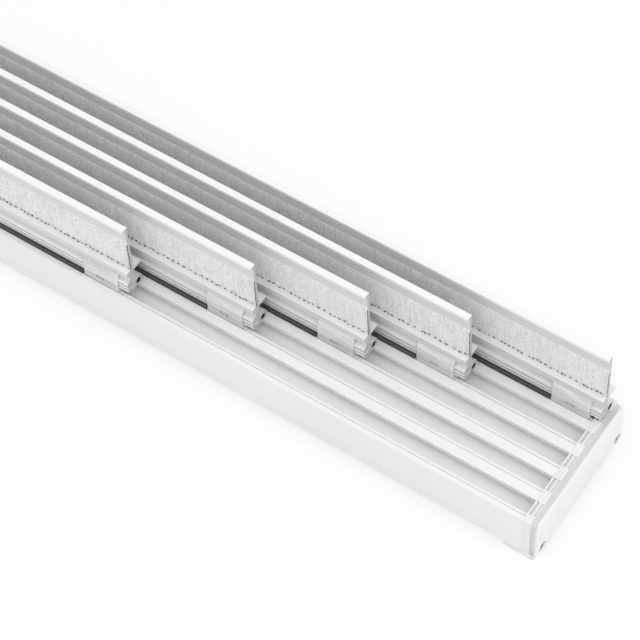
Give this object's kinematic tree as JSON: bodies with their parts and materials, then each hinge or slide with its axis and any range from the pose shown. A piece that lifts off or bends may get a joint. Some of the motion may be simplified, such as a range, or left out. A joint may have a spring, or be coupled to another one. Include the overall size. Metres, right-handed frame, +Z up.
{
  "type": "panel curtain track",
  "caption": "Multi-channel sliding panel track with clip-on end caps and staggered tape-faced panel carriers on plastic glides, channels facing up.",
  "frame": {"origin": "middle of the track's underside, on the plane of the end-cap feet", "axes": "+X along the track towards the end where the fifth carrier is parked, +Y across it from channel 1 to channel 5, +Z up out of the channels"},
  "size_m": [0.664, 0.0788, 0.082],
  "materials": {
    "rail_coat": "satin white powder coat on extruded aluminium",
    "carrier_coat": "satin white powder coat on extruded aluminium",
    "cap_plastic": "milky white moulded plastic, slightly translucent",
    "glide_plastic": "translucent natural plastic",
    "tape_fabric": "light grey woven loop pile",
    "strip_dark": "matt black",
    "screw_steel": "zinc-plated steel"
  },
  "bodies": {
    "track": {"track_rail": "rail_coat", "end_cap_right": "cap_plastic", "end_cap_left": "cap_plastic", "cap_screws_right": "screw_steel", "cap_screws_left": "screw_steel"},
    "carrier_1": {"carrier_profile_1": "carrier_coat", "loop_tape_1": "tape_fabric", "seal_strip_1": "strip_dark", "glide_right_1": "glide_plastic", "glide_left_1": "glide_plastic"},
    "carrier_2": {"carrier_profile_2": "carrier_coat", "loop_tape_2": "tape_fabric", "seal_strip_2": "strip_dark", "glide_right_2": "glide_plastic", "glide_left_2": "glide_plastic"},
    "carrier_3": {"carrier_profile_3": "carrier_coat", "loop_tape_3": "tape_fabric", "seal_strip_3": "strip_dark", "glide_right_3": "glide_plastic", "glide_left_3": "glide_plastic"},
    "carrier_4": {"carrier_profile_4": "carrier_coat", "loop_tape_4": "tape_fabric", "seal_strip_4": "strip_dark", "glide_right_4": "glide_plastic", "glide_left_4": "glide_plastic"},
    "carrier_5": {"carrier_profile_5": "carrier_coat", "loop_tape_5": "tape_fabric", "seal_strip_5": "strip_dark", "glide_right_5": "glide_plastic", "glide_left_5": "glide_plastic"}
  },
  "joints": [
    {"name": "carrier_1_slide", "type": "slide", "parent": "track", "child": "carrier_1", "axis": [1, 0, 0], "range_m": [-0.0268, 0.2313]},
    {"name": "carrier_2_slide", "type": "slide", "parent": "track", "child": "carrier_2", "axis": [1, 0, 0], "range_m": [-0.0901, 0.168]},
    {"name": "carrier_3_slide", "type": "slide", "parent": "track", "child": "carrier_3", "axis": [1, 0, 0], "range_m": [-0.144, 0.1141]},
    {"name": "carrier_4_slide", "type": "slide", "parent": "track", "child": "carrier_4", "axis": [1, 0, 0], "range_m": [-0.1907, 0.0674]},
    {"name": "carrier_5_slide", "type": "slide", "parent": "track", "child": "carrier_5", "axis": [1, 0, 0], "range_m": [-0.2563, 0.0018]}
  ]
}
